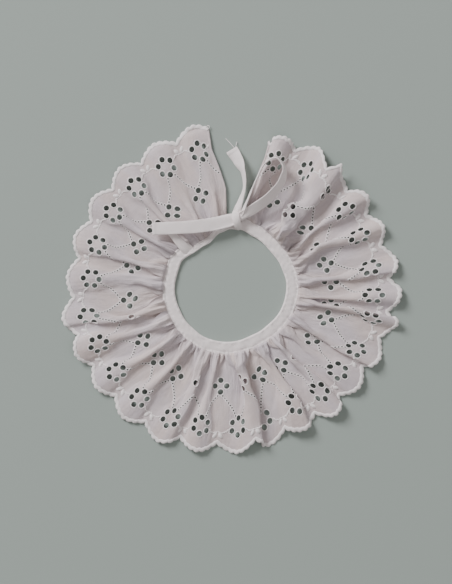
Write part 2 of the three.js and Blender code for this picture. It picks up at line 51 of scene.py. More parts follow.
# -------------------- sizes of the trim, as cut
CLOTH = 0.36  # lawn, with the starch in it
REPEAT = 36.0  # one scallop along the strip
TRIM_DEPTH = 82.5
SCALLOP_DEPTH = 8.0
BUMPS = 7
BUMP_DEPTH = 0.9
TRIM_START, TRIM_END = 0.15, 26.05  # cut ends, counted in scallops
START_S, END_S = TRIM_START * REPEAT, TRIM_END * REPEAT
VALLEYS = range(math.ceil(TRIM_END) + 1)
TUCKED = 6.5  # cloth that is sewn in under the band
END_HEM = 2.2
LAWN_PITCH = 1.42  # side of the even triangles that the lawn is made of
ROW_RATIO = 0.866  # height of an even triangle over its side

# -------------------- sizes of the embroidery
EYELET = 4.75  # across the cut hole
EYELET_POINTS = 14
EYELET_RIM, EYELET_THREAD = EYELET / 2 + 0.4, 0.5
OUTER_ROW, OUTER_RING, OUTER_PETALS = 61.0, 6.7, 6  # a flower's middle from the seam, its ring, its eyelets
INNER_ROW, INNER_RING, INNER_PETALS = 27.5, 4.9, 4
PINHOLE_RADIUS, PINHOLE_PITCH = 0.62, 2.6
PINHOLE_RIM, PINHOLE_THREAD = 1.06, 0.46
PINHOLES_FROM, PINHOLES_TO = INNER_ROW + 8.2, OUTER_ROW - 8.6
LEAF_ROW, LEAF_OUT, LEAF_LEAN = 68.0, 2.5, 38  # from the seam, off the valley, degrees off upright
STEM_FROM, STEM_TO, STEM_PITCH = 65.4, 63.6, 1.15

# -------------------- sizes of the tape
BAND_WIDTH, BAND_THICK = 11.0, 2.4
BAND_START, BAND_END = 84, 441  # directions of the band's two ends
ARC_RADIUS = 53  # radius at which places along the band are counted
SPUN_RADIUS = 60  # radius of the plain ring that is spun first and then eased to the opening
TURNED_UNTIL, TURNED_SHARE = 137, 0.46  # left of the knot the band turns over, and only this share shows
STITCH_ROW = 3.3  # the topstitch, outwards from the band's middle line
TAPE_WIDTH, TAPE_THICK = 10.5, 1.2
TAPE_POINTS = 22  # points round a tape's section
BAND_SQUARE, TAPE_SQUARE = (0.45, 0.55), (0.42, 0.6)  # powers that square off a section's sides and faces
SEAM_GAP = 0.4  # from the band to the seam of the trim

# -------------------- how the trim is gathered
GATHERS_PER_SCALLOP = 3
GATHER_TILT = 1.1
GATHER_REACH = (22, 44, 30, 36, 26)
SETTLED = 26  # from this far out the next two values no longer change
FREE_HEIGHT = (0.5, 0.7)  # share of its free height that a fold keeps, at the seam and farther out
STEEPEST = (0.95, 2.0)  # the cloth's steepest slope in radians, at the same two places
FLAT_FOOT = 0.36  # at most this share of a fold's flank lies flat at its foot
LAWN_ARCH = 2.5  # stiff lawn stands this much off the table between its folds
LAWN_REST = 0.35  # the lawn's middle over the table where nothing lifts it
UNDER_BAND = 1.1  # the same inside the band

# each scallop: direction of its flower, reach of its tip, how far the gathers draw it in, and how steep its
# stiff flower lies beside the rest of its fold
FLOWER_ANGLE, TIP_REACH, DRAWN_IN, STAND = range(4)
SCALLOPS = (
    (103.2, 140.5, 3, 0.3), (118.8, 138, 1.8, 0.3), (133.6, 138.5, 0, 0.3), (147.9, 139.5, 0.5, 0.3),
    (162.3, 140, 0, 0.3), (176.8, 140, 0.5, 0.3), (191.3, 146, 0, 1), (203, 144.5, 0, 0.3),
    (216.7, 143.5, 0.5, 0.3), (230.3, 145, 0.5, 0.3), (245, 146, 1, 0.8), (257.6, 143, 1, 0.3),
    (272, 142, 2, 0.8), (283, 139.5, 5, 1), (296.5, 137, 5, 0.6), (309.6, 141, 4.5, 0.5),
    (320, 139, 4.5, 0.3), (337.3, 141, 1.5, 5), (344.6, 144, 1, 7), (357, 144, 1.5, 0.6),
    (369, 143, 3.5, 6), (381.5, 139.5, 3, 0.8), (394, 139, 3.5, 0.8), (406, 133.5, 4, 1),
    (418.5, 139.5, 2, 2.2), (430.4, 134.5, 4.5, 0.3),
)
BROAD_TOP_U, BROAD_TOP_STAND = 23.82, 0.1  # the widest fold is flat on top near its inner flower
EDGE_START_ANGLE, EDGE_END_ANGLE = 98, 435.4
# ridges that run out over the edge in a point: strip position, how far, half width
POINTED_RIDGES = ((23.78, 8.0, 0.13), (19.72, 2.5, 0.14), (18.6, 2.0, 0.14))
# where the seam takes up the trim: strip position, direction
SEAM_PLACES = (
    (TRIM_START, 93.5), (3, 141), (6, 186), (9, 225), (12, 263.5), (15, 302), (18, 340), (21, 373),
    (24, 411), (TRIM_END, 439),
)
# each fold's foot on the seam, at the inner flowers and at the outer ones, its direction at the inner
# ones, and the share of its cloth before the ridge there and at the outer ones
SEAM_FOOT, INNER_FOOT, OUTER_FOOT, FOOT_ANGLE, INNER_RIDGE, OUTER_RIDGE = range(6)
FOLDS = (
    (0.15, 0.15, 0.15, 93, 0.5, 0.5), (1.1, 1, 1, 108.4, 0.45, 0.5), (2.1, 2, 2, 128.4, 0.5, 0.5),
    (3.1, 3, 3, 142.3, 0.5, 0.5), (4.05, 4, 4, 156.8, 0.7, 0.6), (5.1, 5, 5, 168.5, 0.35, 0.5),
    (6.1, 6, 6, 188, 0.72, 0.76), (7.1, 7.3, 6.82, 200, 0.5, 0.5), (8.3, 8, 8, 211.5, 0.58, 0.5),
    (9.3, 9, 9, 224.8, 0.58, 0.5), (10.2, 10, 10, 237.8, 0.7, 0.72), (11.2, 11.3, 11, 253.5, 0.45, 0.45),
    (12.1, 12, 12, 264.2, 0.62, 0.78), (13.7, 13.95, 13.45, 286.2, 0.75, 0.76),
    (15, 14.95, 14.9, 300.6, 0.6, 0.68), (16.1, 16.4, 16, 315, 0.5, 0.5), (16.9, 17, 17, 327, 0.32, 0.24),
    (18.1, 18, 18, 341.6, 0.68, 0.7), (19, 19.1, 19, 351.3, 0.32, 0.44),
    (19.8, 19.95, 20, 361.3, 0.3, 0.27), (20.8, 21, 21, 372.7, 0.6, 0.5),
    (21.6, 22.3, 22, 389.5, 0.55, 0.45), (22.4, 23.05, 23.2, 396.8, 0.42, 0.32),
    (25, 25, 24.95, 424.5, 0.7, 0.6), (TRIM_END, TRIM_END, TRIM_END, 438.2, 0.5, 0.5),
)
# radius of the neck opening by direction
OPENING = (
    (91, 48.3), (100, 46.4), (118, 41), (130, 41.3), (156, 46.8), (200, 48), (245, 48.3), (300, 45),
    (355, 47), (400, 44.8), (426, 46), (440, 48.8),
)
KNOT_PLACE = (4.4, 55.2)

knot_low, knot_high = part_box("knot")
SHIFT = np.array([
    (knot_low[0] + knot_high[0]) / 2 / MM - KNOT_PLACE[0],
    (knot_low[1] + knot_high[1]) / 2 / MM - KNOT_PLACE[1],
    0.0,
])


def mix(a, b, share):
    return a + (b - a) * share


def smooth(x):
    c = np.clip(x, 0, 1)
    return c * c * (3 - 2 * c)


def look_up(keys, values, at, eased=False):
    """Value between the rows of a table, straight or eased."""
    keys, values = np.asarray(keys, float), np.asarray(values, float)
    i = np.clip(np.searchsorted(keys, at), 1, len(keys) - 1)
    share = np.clip((at - keys[i - 1]) / (keys[i] - keys[i - 1]), 0, 1)
    return mix(values[i - 1], values[i], smooth(share) if eased else share)


def column(rows, place):
    return [row[place] for row in rows]


def ends_repeated(values):
    return values[:1] + values + values[-1:]


def opening_radius(angle):
    return look_up(column(OPENING, 0), column(OPENING, 1), angle, True)


EDGE_U = [TRIM_START] + [i + 0.5 for i in range(len(SCALLOPS))] + [TRIM_END]
EDGE_ANGLE = [EDGE_START_ANGLE] + column(SCALLOPS, FLOWER_ANGLE) + [EDGE_END_ANGLE]
EDGE_REACH = ends_repeated(column(SCALLOPS, TIP_REACH))
EDGE_DRAWN = ends_repeated(column(SCALLOPS, DRAWN_IN))


def between(seam, inner, edge, t):
    """A value known at the seam, the inner flowers and the outer ones, at distance t."""
    near = mix(seam, inner, t / INNER_ROW)
    far = mix(inner, edge, np.clip((t - INNER_ROW) / (OUTER_ROW - INNER_ROW), 0, 1))
    return np.where(t < INNER_ROW, near, far)


def ground_angle(u, t):
    return between(
        look_up(column(SEAM_PLACES, 0), column(SEAM_PLACES, 1), u),
        look_up(column(FOLDS, INNER_FOOT), column(FOLDS, FOOT_ANGLE), u),
        look_up(EDGE_U, EDGE_ANGLE, u),
        t,
    )


def ground_radius(u, t, angle):
    reach = look_up(EDGE_U, EDGE_REACH, u, True)
    drawn = look_up(EDGE_U, EDGE_DRAWN, u, True)
    seam = opening_radius(angle) + BAND_WIDTH + SEAM_GAP
    share = t / TRIM_DEPTH
    pull = np.sin(math.pi * np.minimum(1, np.power(np.maximum(share, 0), 0.63)))
    radius = seam + share * (reach - seam) - drawn * pull
    for place, out, half in POINTED_RIDGES:
        radius = radius + out * np.exp(-np.abs((u - place) / half) ** 1.5) * smooth((t - 58) / 24)
    return radius


# -------------------- how the gathered trim folds
ROW_STEP = 1.5
FOLD_STEPS = 60
ROWS = math.ceil(TRIM_DEPTH / ROW_STEP) + 1


def foot_at(fold, t):
    return float(between(fold[SEAM_FOOT], fold[INNER_FOOT], fold[OUTER_FOOT], t))


def flower_stand(u, t):
    """How steep the cloth lies beside the rest of its fold: flowers and what is beyond them are stiff."""
    i = np.clip(np.floor(u), 0, len(SCALLOPS) - 1).astype(int)
    out = (t - OUTER_ROW) * 0.3 if t > OUTER_ROW else OUTER_ROW - t
    outer = smooth((np.hypot((u - i - 0.5) * REPEAT, out) - 8) / 6)
    inner = smooth((np.hypot((u - BROAD_TOP_U) * REPEAT, t - INNER_ROW) - 9) / 5)
    return mix(np.array(column(SCALLOPS, STAND))[i], 1, outer) * mix(BROAD_TOP_STAND, 1, inner)


def fold_section(k, t):
    """One fold at distance t from the seam: strip positions, directions and free heights of its cloth."""
    fold, after = FOLDS[k], FOLDS[k + 1]
    start, stop = foot_at(fold, t), foot_at(after, t)
    cloth = (stop - start) * REPEAT
    middle = (start + stop) / 2
    first, last = float(ground_angle(start, t)), float(ground_angle(stop, t))
    ground = math.radians(last - first) * float(ground_radius(middle, t, ground_angle(middle, t)))
    count = max(2, math.floor((after[SEAM_FOOT] - fold[SEAM_FOOT]) * GATHERS_PER_SCALLOP + 0.5))
    x = (np.arange(FOLD_STEPS) + 0.5) / FOLD_STEPS
    place = x * count
    reach = np.array([GATHER_REACH[(k * 2 + i) % len(GATHER_REACH)] for i in range(count)])
    gathers = GATHER_TILT * np.clip(1 - t / reach, 0, 1) ** 1.3
    gather = gathers[np.floor(place).astype(int)] * np.sin(2 * math.pi * place)
    crest = mix(fold[INNER_RIDGE], fold[OUTER_RIDGE], smooth((t - INNER_ROW) / (OUTER_ROW - INNER_ROW)))
    flat = FLAT_FOOT * smooth(t / 24) * mix(1, 0.3, smooth((t - 34) / 26))
    climb = np.where(x < crest, x / crest, (1 - x) / (1 - crest))
    flank = np.sign(crest - x) * np.sin(math.pi * np.clip((climb - flat) / (1 - flat), 0, 1))
    flank = flank * flower_stand(mix(start, stop, x), t)
    rise, fall = flank[flank > 0].sum(), -flank[flank < 0].sum()
    flank = flank * FOLD_STEPS / np.where(flank > 0, rise, fall)
    steepest = mix(*STEEPEST, smooth(t / SETTLED))
    low, high = 0.0, 2.0
    for _ in range(16):
        tilt = (low + high) / 2
        slope = np.clip(tilt * flank, -steepest, steepest) + gather
        if np.cos(slope).sum() * cloth / FOLD_STEPS > ground:
            low = tilt
        else:
            high = tilt
    slope = np.clip(low * flank, -steepest, steepest) + gather
    along = np.concatenate([[0], np.cumsum(np.cos(slope))])
    height = np.concatenate([[0], np.cumsum(np.sin(slope))]) * cloth / FOLD_STEPS
    step = np.arange(FOLD_STEPS + 1) / FOLD_STEPS
    height = np.maximum(0, height - height[-1] * step)
    return mix(start, stop, step), mix(first, last, along / along[-1]), height


def all_sections():
    rows = []
    for row in range(ROWS):
        t = row * ROW_STEP
        parts = [fold_section(k, t) for k in range(len(FOLDS) - 1)]
        settle = mix(*FREE_HEIGHT, smooth(t / SETTLED))
        rows.append((
            np.concatenate([p[0] for p in parts]),
            np.concatenate([p[1] for p in parts]),
            np.concatenate([p[2] for p in parts]) * settle,
        ))
    return rows


SECTIONS = all_sections()

# small creases laid over the folds: strip position and distance of both ends, lift, half width
CREASES = (
    (0.6, 12, 1.3, 46, 0.7, 5), (1.5, 8, 1.7, 40, -0.6, 5), (2.4, 10, 2.8, 44, 0.7, 6),
    (3.6, 8, 3.4, 40, 0.8, 5), (4.5, 14, 4.2, 50, -0.5, 6), (5.5, 6, 5.3, 38, 0.7, 5),
    (6.3, 10, 6.2, 52, 0.5, 5), (7.6, 14, 7.4, 50, -0.5, 6), (8.7, 6, 8.4, 40, 0.6, 4),
    (9.7, 8, 9.4, 52, 0.6, 4), (10.5, 10, 10.4, 46, 0.8, 5), (11.6, 4, 11.8, 30, 0.8, 4),
    (12.5, 8, 12.4, 42, -0.6, 5), (14.2, 6, 14.4, 40, 0.6, 6), (15.5, 10, 15.3, 44, 0.5, 5),
    (16.6, 6, 16.7, 36, -0.6, 5), (17.6, 8, 17.4, 36, 0.8, 5), (18.5, 6, 18.4, 34, 0.7, 5),
    (19.5, 8, 19.6, 42, 0.6, 5), (20.5, 6, 20.4, 36, 0.8, 5), (21.4, 8, 21.6, 46, -0.6, 5),
    (22.6, 10, 22.6, 40, 0.6, 4), (24.0, 8, 24.3, 50, 0.7, 6), (24.7, 6, 24.8, 44, 0.6, 5),
)
WAVES = [(chance.uniform(0.1, 0.42), chance.uniform(0.02, 0.16), chance.uniform(0, 6.3)) for _ in range(9)]


def wear_creases(count):
    """Short sharp creases of wear, most of them running out from the neck."""
    made = []
    for _ in range(count):
        u, t = chance.uniform(TRIM_START, TRIM_END), chance.triangular(2, 66, 14)
        length, lean = chance.uniform(9, 32), chance.gauss(0, 0.3)
        rise = chance.choice((-1, 1)) * chance.uniform(0.2, 0.6)
        made.append((u, t, u + lean * length / REPEAT, t + length, rise, chance.uniform(0.9, 2.0)))
    return made


CREASES += tuple(wear_creases(190))


def crumple(s, t):
    """Small uneven relief of worn lawn over the folds: soft waves, the fine gathers and the creases."""
    lift = sum(0.05 * np.sin(a * s + b * t + c) for a, b, c in WAVES)
    fine = 1 - 2 * np.abs(np.sin(math.pi * s / 7.3 + 0.9 * np.sin(s * 0.031))) ** 0.8
    reach = 10 + 5 * np.sin(s * 0.23) + 3 * np.sin(s * 0.71 + 1)
    gathers = 0.95 * fine + 0.25 * np.sin(s * 1.9 + np.sin(s * 0.2))
    lift += gathers * np.exp(-((np.maximum(t, 0) / reach) ** 2))
    for u0, t0, u1, t1, rise, width in CREASES:
        across = (s - mix(u0, u1, (t - t0) / (t1 - t0)) * REPEAT) / width
        near = np.nonzero((np.abs(across) < 3.5) & (t > t0) & (t < t1))[0]
        ends = np.sin(math.pi * (t[near] - t0) / (t1 - t0)) ** 0.8
        lift[near] += rise * ends * np.exp(-np.abs(across[near]) ** 1.35)
    return lift


def on_trim(s, t):
    """The lawn's middle: places on the flat strip, along and across it, to places in the neck's frame."""
    u = np.clip(s / REPEAT, TRIM_START, TRIM_END)
    place = np.clip(t / ROW_STEP, 0, ROWS - 1.001)
    row = place.astype(int)
    angle, height = np.empty_like(u), np.empty_like(u)
    for r in np.unique(row):
        mine = row == r
        share = place[mine] - r
        (nu, na, nh), (fu, fa, fh) = SECTIONS[r], SECTIONS[r + 1]
        angle[mine] = mix(np.interp(u[mine], nu, na), np.interp(u[mine], fu, fa), share)
        height[mine] = mix(np.interp(u[mine], nu, nh), np.interp(u[mine], fu, fh), share)
    radius = ground_radius(u, t, angle)
    turn = np.radians(angle)
    between_folds = 1 - smooth(height / 5)
    arch = LAWN_ARCH * np.sqrt(np.sin(math.pi * np.clip(t / (TRIM_DEPTH - 4), 0, 1))) * between_folds
    lift = LAWN_REST + arch + height + crumple(s, t) * smooth((height + arch + 0.6) / 2.6)
    lift = mix(lift, UNDER_BAND + 0.3 * np.sin(s * 0.86 + np.sin(s * 0.2)), smooth(-t / 2.2))
    return np.stack([radius * np.cos(turn), radius * np.sin(turn), np.maximum(lift, CLOTH / 2)], axis=1)


def trim_normal(s, t):
    ds, dt = 0.25, 0.35
    along = on_trim(np.minimum(s + ds, END_S), t) - on_trim(np.maximum(s - ds, START_S), t)
    across = on_trim(s, t + dt) - on_trim(s, t - dt)
    normal = np.cross(across, along)
    return normal / np.maximum(np.linalg.norm(normal, axis=1), 1e-9)[:, None]


def coordinates(mesh):
    flat = np.empty(len(mesh.vertices) * 3)
    mesh.vertices.foreach_get("co", flat)
    return flat.reshape(-1, 3)


def put(mesh, places):
    """Moves a mesh's points to places in millimetres in the neck's frame."""
    mesh.vertices.foreach_set("co", ((places + SHIFT) * MM).ravel())
    mesh.update()


def mesh_from(bm, name):
    mesh = bpy.data.meshes.new(name)
    bm.to_mesh(mesh)
    bm.free()
    return mesh


def piece(name, mesh, material):
    """A named piece from a mesh, riding on the collar's one body."""
    mesh.name = name
    mesh.materials.append(material)
    mesh.polygons.foreach_set("use_smooth", [True] * len(mesh.polygons))
    made = bpy.data.objects.new(name, mesh)
    bpy.context.scene.collection.objects.link(made)
    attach(made, "root")
    return made


MAP_SCALE = 0.01  # one unit of a piece's map is 100 mm of flat cloth


def flat_map(mesh, flat):
    """Keeps each point's place on the flat cloth as the piece's map."""
    layer = mesh.uv_layers.new(name="cloth_mm")
    corner = np.empty(len(mesh.loops), dtype=np.int32)
    mesh.loops.foreach_get("vertex_index", corner)
    layer.data.foreach_set("uv", (flat[corner, :2] * MAP_SCALE).ravel())


def lay_on_trim(mesh):
    """Lays a mesh made flat on the folds: its x along the strip, its y across it and its z off the lawn."""
    flat = coordinates(mesh)
    flat_map(mesh, flat)
    s, t = flat[:, 0], flat[:, 1]
    laid = on_trim(s, t) + trim_normal(s, t) * flat[:, 2:3]
    laid[:, 2] = np.maximum(laid[:, 2], 0.03)
    put(mesh, laid)


# -------------------- the flat pattern and its embroidery
def scallop_edge(u):
    part = u - np.floor(u)
    x = np.abs(2 * part - 1)
    bump = BUMP_DEPTH * np.abs(np.cos(BUMPS * math.pi * (part - 0.5)))
    return TRIM_DEPTH - BUMP_DEPTH - SCALLOP_DEPTH * np.power(x, 1.6) + bump


def flower(u, row, ring, petals):
    turns = [2 * math.pi * i / petals + math.pi / 2 for i in range(petals)]
    return [(u * REPEAT + ring * math.cos(a), row + ring * math.sin(a)) for a in turns]


def eyelet_places():
    places = []
    for k in VALLEYS:
        places += flower(k + 0.5, OUTER_ROW, OUTER_RING, OUTER_PETALS)
        places += flower(k, INNER_ROW, INNER_RING, INNER_PETALS)
    margin = EYELET / 2 + END_HEM
    return np.array([p for p in places if START_S + margin < p[0] < END_S - margin])


EYELETS = eyelet_places()


def lawn_points():
    """Even points inside the strip, clear of its border and of the eyelets."""
    rows = int((TRIM_DEPTH + TUCKED) / (LAWN_PITCH * ROW_RATIO))
    s, row = np.meshgrid(np.arange(START_S, END_S, LAWN_PITCH), np.arange(rows))
    s = (s + (row % 2) * LAWN_PITCH / 2).ravel()
    t = (row.ravel() + 0.7) * LAWN_PITCH * ROW_RATIO - TUCKED
    keep = (s > START_S + 0.8) & (s < END_S - 0.8) & (t < scallop_edge(s / REPEAT) - 0.9)
    s, t = s[keep], t[keep]
    gap = np.full(len(s), 99.0)
    for es, et in EYELETS:
        near = np.abs(s - es) < 4
        gap[near] = np.minimum(gap[near], np.hypot(s[near] - es, t[near] - et))
    clear = gap > EYELET / 2 + 0.55
    return list(zip(s[clear], t[clear]))


def border_points():
    """Once round the strip: the tucked edge, one cut end, the scallops and the other cut end."""
    edge_s = np.linspace(END_S, START_S, int((END_S - START_S) / 0.9))
    border = [(x, -TUCKED) for x in np.arange(START_S, END_S, LAWN_PITCH)]
    border += [(END_S, y) for y in np.arange(-TUCKED, scallop_edge(TRIM_END) - 0.5, 1.2)]
    border += list(zip(edge_s, scallop_edge(edge_s / REPEAT)))
    border += [(START_S, y) for y in np.arange(float(scallop_edge(TRIM_START)) - 1.2, -TUCKED + 0.6, -1.2)]
    return border


def closed_ring(first, count):
    return [(first + i, first + (i + 1) % count) for i in range(count)]


def cut_trim():
    """The strip of lawn as cut: scalloped edge, square ends and round eyelets, in fine even triangles."""
    points, border = lawn_points(), border_points()
    edges = closed_ring(len(points), len(border))
    points += border
    turns = np.arange(EYELET_POINTS) * math.tau / EYELET_POINTS
    for es, et in EYELETS:
        edges += closed_ring(len(points), EYELET_POINTS)
        points += list(zip(es + EYELET / 2 * np.cos(turns), et + EYELET / 2 * np.sin(turns)))
    places, _, faces, _, _, _ = delaunay_2d_cdt([Vector(p) for p in points], edges, [], 0, 1e-4)
    flat = np.array([(p.x, p.y, 0.0) for p in places])
    faces = np.array(faces)
    middle = flat[faces].mean(axis=1)
    inside = (middle[:, 1] < scallop_edge(middle[:, 0] / REPEAT)) & (middle[:, 1] > -TUCKED + 0.01)
    inside &= np.abs(flat[faces] - flat[np.roll(faces, 1, axis=1)]).max(axis=(1, 2)) < 3 * LAWN_PITCH
    for es, et in EYELETS:
        near = np.abs(middle[:, 0] - es) < 3
        inside[near] &= np.hypot(middle[near, 0] - es, middle[near, 1] - et) > EYELET / 2 - 0.06
    mesh = bpy.data.meshes.new("trim_lawn")
    mesh.from_pydata(flat.tolist(), [], faces[inside][:, ::-1].tolist())
    return mesh


def stamp(shape, places):
    """Copies one small flat-made shape to many places: along, across, turn, size and lift of each."""
    together, one = bmesh.new(), bpy.data.meshes.new("one")
    for s, t, turn, size, lift in places:
        copy = shape.copy()
        move = Matrix.Translation((s, t, lift)) @ Matrix.Rotation(turn, 4, "Z") @ Matrix.Scale(size, 4)
        bmesh.ops.transform(copy, matrix=move, verts=copy.verts[:])
        copy.to_mesh(one)
        together.from_mesh(one)
        copy.free()
    shape.free()
    return mesh_from(together, "stamped")


def ring_shape(radius, thread, around=EYELET_POINTS, section=5):
    """A round overcast rim: a small circle spun round a hole."""
    bm = bmesh.new()
    made = bmesh.ops.create_circle(bm, segments=section, radius=thread)["verts"]
    bmesh.ops.rotate(bm, verts=made, cent=(0, 0, 0), matrix=Matrix.Rotation(math.pi / 2, 3, "X"))
    bmesh.ops.scale(bm, verts=made, vec=(1, 1, 0.75))
    bmesh.ops.translate(bm, verts=made, vec=(radius, 0, 0))
    geom = bm.verts[:] + bm.edges[:]
    bmesh.ops.spin(
        bm, geom=geom, cent=(0, 0, 0), axis=(0, 0, 1), angle=math.tau, steps=around, use_merge=True,
    )
    bmesh.ops.remove_doubles(bm, verts=bm.verts[:], dist=1e-4)
    bmesh.ops.recalc_face_normals(bm, faces=bm.faces[:])
    return bm


def stitch_shape(length, width, height, segments=6):
    """One lying stitch: a long low bead with pointed ends."""
    bm = bmesh.new()
    bmesh.ops.create_uvsphere(bm, u_segments=segments, v_segments=4, radius=1)
    bmesh.ops.rotate(bm, verts=bm.verts[:], cent=(0, 0, 0), matrix=Matrix.Rotation(math.pi / 2, 3, "Y"))
    bmesh.ops.scale(bm, verts=bm.verts[:], vec=(length / 2, width / 2, height))
    bmesh.ops.recalc_face_normals(bm, faces=bm.faces[:])
    return bm


CORD_POINTS = 10  # points round a worked cord


def laid_cord(path, half, rise, inset):
    """A low worked cord along a path on the flat strip, set in from it to the right hand side."""
    steps = len(path) - 1
    bm = bmesh.new()
    bmesh.ops.create_grid(bm, x_segments=steps, y_segments=CORD_POINTS, size=0.5)
    mesh = mesh_from(bm, "cord")
    grid = coordinates(mesh)
    i = np.rint((grid[:, 0] + 0.5) * steps).astype(int)
    turn = (grid[:, 1] + 0.5) * math.tau
    run = np.gradient(path, axis=0)
    run = (run / np.linalg.norm(run, axis=1)[:, None])[i]
    out = -inset + half[i] * np.cos(turn)
    s, t = path[i, 0] - run[:, 1] * out, path[i, 1] + run[:, 0] * out
    flat = np.stack([s, t, 0.05 + rise[i] * np.sin(turn)], axis=1)
    mesh.vertices.foreach_set("co", flat.ravel())
    bm = bmesh.new()
    bm.from_mesh(mesh)
    bmesh.ops.remove_doubles(bm, verts=bm.verts[:], dist=1e-3)
    bmesh.ops.holes_fill(bm, edges=bm.edges[:], sides=0)
    bmesh.ops.recalc_face_normals(bm, faces=bm.faces[:])
    bm.to_mesh(mesh)
    bm.free()
    return mesh


def satin_border():
    """The worked edge: a low cord of satin stitch that follows the scallops and their bumps."""
    s = np.linspace(START_S, END_S, int((TRIM_END - TRIM_START) * 56))
    swell = np.abs(np.cos(BUMPS * math.pi * (s / REPEAT % 1 - 0.5)))
    fray = 0.15 * np.sin(s * 5.1) + 0.12 * np.sin(s * 9.7 + 1)
    path = np.stack([s, scallop_edge(s / REPEAT)], axis=1)
    return laid_cord(path, 1.4 + 0.3 * swell + fray, 0.66 + 0.14 * swell, 0.95)


def end_hem(s, side):
    """The narrow rolled hem on one cut end of the trim."""
    t = np.linspace(-1.0, float(scallop_edge(s / REPEAT)) - 0.4, 90)
    path = np.stack([np.full_like(t, s) + side * 0.1 * np.sin(t * 0.9), t], axis=1)
    roll = 0.95 + 0.12 * np.sin(t * 1.3)
    return laid_cord(path, roll, 0.42 * roll, 0.75 * side)


def stitched_line(start, stop, bow, pitch):
    """Places along a slightly bowed line on the flat strip, with the line's direction at each."""
    (s0, t0), (s1, t1) = start, stop
    length = math.hypot(s1 - s0, t1 - t0)
    count = max(2, round(length / pitch))
    places = []
    for i in range(count + 1):
        x = i / count
        side = bow * 4 * x * (1 - x)
        nx, ny = -(t1 - t0) / length, (s1 - s0) / length
        slope = bow * 4 * (1 - 2 * x) / length
        turn = math.atan2(t1 - t0, s1 - s0) + math.atan(slope)
        places.append((mix(s0, s1, x) + nx * side, mix(t0, t1, x) + ny * side, turn))
    return places


def inside_trim(place, margin=1.6):
    return START_S + margin < place[0] < END_S - margin


def pinhole_lines():
    """Dotted lines of pinholes, from the top of each inner flower to the two outer flowers above it."""
    dots = []
    for k in VALLEYS:
        for side in (-1, 1):
            start = ((k + 0.06 * side) * REPEAT, PINHOLES_FROM)
            stop = ((k + 0.405 * side) * REPEAT, PINHOLES_TO)
            dots += [p for p in stitched_line(start, stop, -0.7 * side, PINHOLE_PITCH) if inside_trim(p)]
    return dots


def leaf_pairs():
    """Two small satin leaves at each valley, and the short stems that run from them to the flowers."""
    leaves, stems = [], []
    for k in VALLEYS:
        for side in (-1, 1):
            place = (k * REPEAT + side * LEAF_OUT, LEAF_ROW)
            if inside_trim(place, 2.6):
                leaves.append((*place, math.radians(90 - side * LEAF_LEAN), 1.0, 0.12))
            start, stop = (k * REPEAT + side * 0.9, STEM_FROM), ((k + side * 0.24) * REPEAT, STEM_TO)
            stems += [p for p in stitched_line(start, stop, 1.2 * side, STEM_PITCH) if inside_trim(p)]
    return leaves, stems


# -------------------- bands and ties
def centripetal(points, at):
    """Place and direction on a smooth line through points, `at` counted in points."""
    points = [Vector(p) for p in points]
    i = min(int(at), len(points) - 2)
    x = at - i
    p1, p2 = points[i], points[i + 1]
    p0 = points[i - 1] if i > 0 else 2 * p1 - p2
    p3 = points[i + 2] if i + 2 < len(points) else 2 * p2 - p1
    d0, d1, d2 = ((b - a).length ** 0.5 for a, b in ((p0, p1), (p1, p2), (p2, p3)))
    m1 = ((p1 - p0) / d0 - (p2 - p0) / (d0 + d1) + (p2 - p1) / d1) * d1
    m2 = ((p2 - p1) / d1 - (p3 - p1) / (d1 + d2) + (p3 - p2) / d2) * d1
    a, b = 2 * (p1 - p2) + m1 + m2, 3 * (p2 - p1) - 2 * m1 - m2
    return a * x**3 + b * x**2 + m1 * x + p1, 3 * a * x**2 + 2 * b * x + m1


def round_cornered(turn, width, thick, side_power, top_power):
    """Across and up of one point of a flat section with round corners, by its turn."""
    c, d = math.cos(turn), math.sin(turn)
    across = math.copysign(abs(c) ** side_power, c) * width / 2
    return across, math.copysign(abs(d) ** top_power, d) * thick / 2


def tape_run(rows, per_span, thick, pucker=None):
    """A length of folded tape through rows of x, y, z, roll and width, with its own map along and across."""
    steps = (len(rows) - 1) * per_span
    bm = bmesh.new()
    bmesh.ops.create_grid(bm, x_segments=steps, y_segments=TAPE_POINTS, size=0.5)
    bm.verts.index_update()
    rings = {}
    for v in bm.verts:
        rings.setdefault(round((v.co.x + 0.5) * steps), []).append(v)
    length, previous, flat = 0.0, None, {}
    for step in sorted(rings):
        at = min(step / per_span, len(rows) - 1 - 1e-6)
        row = int(at)
        share = float(smooth(at - row))
        roll = math.radians(mix(rows[row][3], rows[row + 1][3], share))
        width = mix(rows[row][4], rows[row + 1][4], share)
        centre, along = centripetal([r[:3] for r in rows], at)
        along.normalize()
        if previous:
            length += (centre - previous).length
        previous = centre
        side = Vector((along.y, -along.x, 0)).normalized()
        up = side.cross(along)
        across = side * math.cos(roll) + up * math.sin(roll)
        over = across.cross(along)
        for v in rings[step]:
            i = round((v.co.y + 0.5) * TAPE_POINTS) % TAPE_POINTS
            a, b = round_cornered(math.tau * (i + 0.5) / TAPE_POINTS, width, thick, *TAPE_SQUARE)
            lift = pucker(length, a, width) if pucker else 0.0
            flat[v.index] = (length, a if b > 0 else -a, 0)
            v.co = centre + across * a + over * (b + lift)
    return bm, flat


